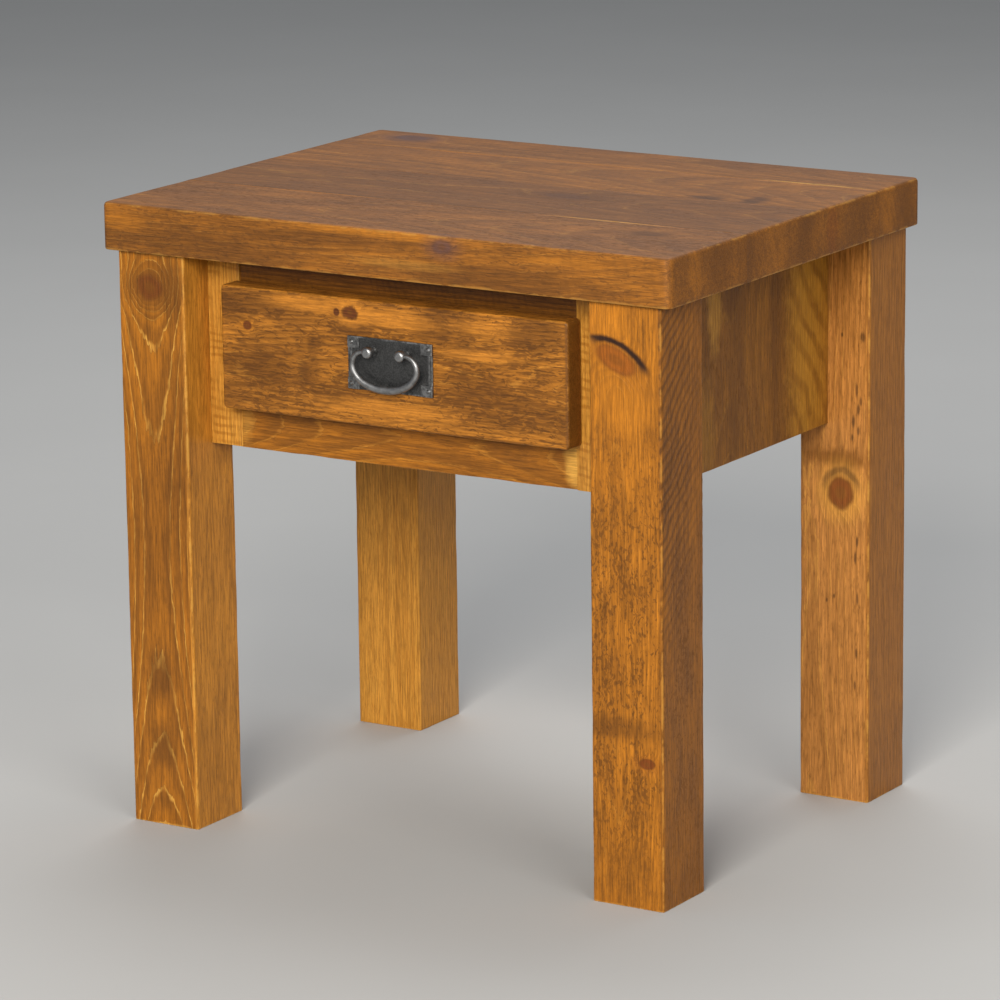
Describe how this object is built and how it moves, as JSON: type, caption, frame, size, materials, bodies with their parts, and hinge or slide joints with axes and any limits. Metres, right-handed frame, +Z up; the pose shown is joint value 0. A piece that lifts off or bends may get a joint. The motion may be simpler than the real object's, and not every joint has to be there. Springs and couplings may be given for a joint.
{
  "type": "side table with drawer",
  "caption": "Rustic side table with square legs, a thick board top and a drawer with a bail pull on ball-bearing runners.",
  "frame": {"origin": "on the floor under the middle of the top's outline", "axes": "+X along the long side of the top, to the right seen from the front; the drawer opens towards -Y; +Z is up"},
  "size_m": [0.622, 0.482, 0.61],
  "materials": {
    "top_pine": "satin lacquered stained pine",
    "leg_pine": "satin lacquered stained pine",
    "frame_pine": "satin lacquered stained rough-sawn pine",
    "drawer_front_pine": "satin lacquered stained pine with dark figure",
    "bare_pine": "planed unfinished pine",
    "drawer_bottom_ply": "sanded plywood",
    "dowel_wood": "plain beech dowel",
    "runner_steel": "zinc plated, satin",
    "cage_steel": "zinc plated, satin",
    "ball_steel": "polished",
    "zinc_screws": "bright zinc plated",
    "pull_iron": "antique pewter, worn bright on the high spots"
  },
  "bodies": {
    "table": {"top_board_rear": "top_pine", "top_board_mid_rear": "top_pine", "top_board_mid_front": "top_pine", "top_board_front": "top_pine", "leg_front_left": "leg_pine", "leg_front_right": "leg_pine", "leg_rear_left": "leg_pine", "leg_rear_right": "leg_pine", "front_stile_left": "frame_pine", "front_stile_right": "frame_pine", "front_top_rail": "frame_pine", "front_bottom_rail": "frame_pine", "side_panel_left": "frame_pine", "side_panel_right": "frame_pine", "back_panel": "frame_pine", "runner_batten_left": "bare_pine", "runner_batten_right": "bare_pine", "top_cleat_left": "bare_pine", "top_cleat_right": "bare_pine", "top_cleat_rear": "bare_pine", "frame_dowels": "dowel_wood", "top_fixing_screws": "zinc_screws", "panel_fixing_screws": "zinc_screws", "runner_cabinet_screws": "zinc_screws", "runner_cabinet_left": "runner_steel", "runner_cabinet_right": "runner_steel"},
    "drawer": {"drawer_front": "drawer_front_pine", "drawer_box_front": "bare_pine", "drawer_box_back": "bare_pine", "drawer_side_left": "bare_pine", "drawer_side_right": "bare_pine", "drawer_bottom": "drawer_bottom_ply", "drawer_front_screws": "zinc_screws", "drawer_box_pins": "zinc_screws", "runner_drawer_left": "runner_steel", "runner_drawer_right": "runner_steel", "runner_drawer_screws": "zinc_screws", "pull_plate": "pull_iron", "pull_plate_pins": "pull_iron", "pull_posts": "pull_iron", "pull_washers": "zinc_screws", "pull_nuts": "zinc_screws"},
    "bail": {"pull_bail": "pull_iron"},
    "runner_middle_left": {"runner_middle_left": "runner_steel"},
    "outer_cage_left": {"ball_cage_outer_left": "cage_steel", "balls_outer_left": "ball_steel"},
    "inner_cage_left": {"ball_cage_inner_left": "cage_steel", "balls_inner_left": "ball_steel"},
    "runner_middle_right": {"runner_middle_right": "runner_steel"},
    "outer_cage_right": {"ball_cage_outer_right": "cage_steel", "balls_outer_right": "ball_steel"},
    "inner_cage_right": {"ball_cage_inner_right": "cage_steel", "balls_inner_right": "ball_steel"}
  },
  "joints": [
    {"name": "drawer_slide", "type": "slide", "parent": "table", "child": "drawer", "axis": [0, -1, 0], "range_m": [0, 0.35]},
    {"name": "bail_swing", "type": "hinge", "parent": "drawer", "child": "bail", "pos_m": [0, -0.23, 0.491], "axis": [-1, 0, 0], "range_deg": [-8, 188]},
    {"name": "middle_left_slide", "type": "slide", "parent": "table", "child": "runner_middle_left", "axis": [0, -1, 0], "range_m": [0, 0.175]},
    {"name": "outer_cage_left_slide", "type": "slide", "parent": "table", "child": "outer_cage_left", "axis": [0, -1, 0], "range_m": [0, 0.0875]},
    {"name": "inner_cage_left_slide", "type": "slide", "parent": "table", "child": "inner_cage_left", "axis": [0, -1, 0], "range_m": [0, 0.2625]},
    {"name": "middle_right_slide", "type": "slide", "parent": "table", "child": "runner_middle_right", "axis": [0, -1, 0], "range_m": [0, 0.175]},
    {"name": "outer_cage_right_slide", "type": "slide", "parent": "table", "child": "outer_cage_right", "axis": [0, -1, 0], "range_m": [0, 0.0875]},
    {"name": "inner_cage_right_slide", "type": "slide", "parent": "table", "child": "inner_cage_right", "axis": [0, -1, 0], "range_m": [0, 0.2625]}
  ],
  "couplings": [
    {"joint": "middle_left_slide", "follows": "drawer_slide", "ratio": 0.5},
    {"joint": "outer_cage_left_slide", "follows": "drawer_slide", "ratio": 0.25},
    {"joint": "inner_cage_left_slide", "follows": "drawer_slide", "ratio": 0.75},
    {"joint": "middle_right_slide", "follows": "drawer_slide", "ratio": 0.5},
    {"joint": "outer_cage_right_slide", "follows": "drawer_slide", "ratio": 0.25},
    {"joint": "inner_cage_right_slide", "follows": "drawer_slide", "ratio": 0.75}
  ]
}
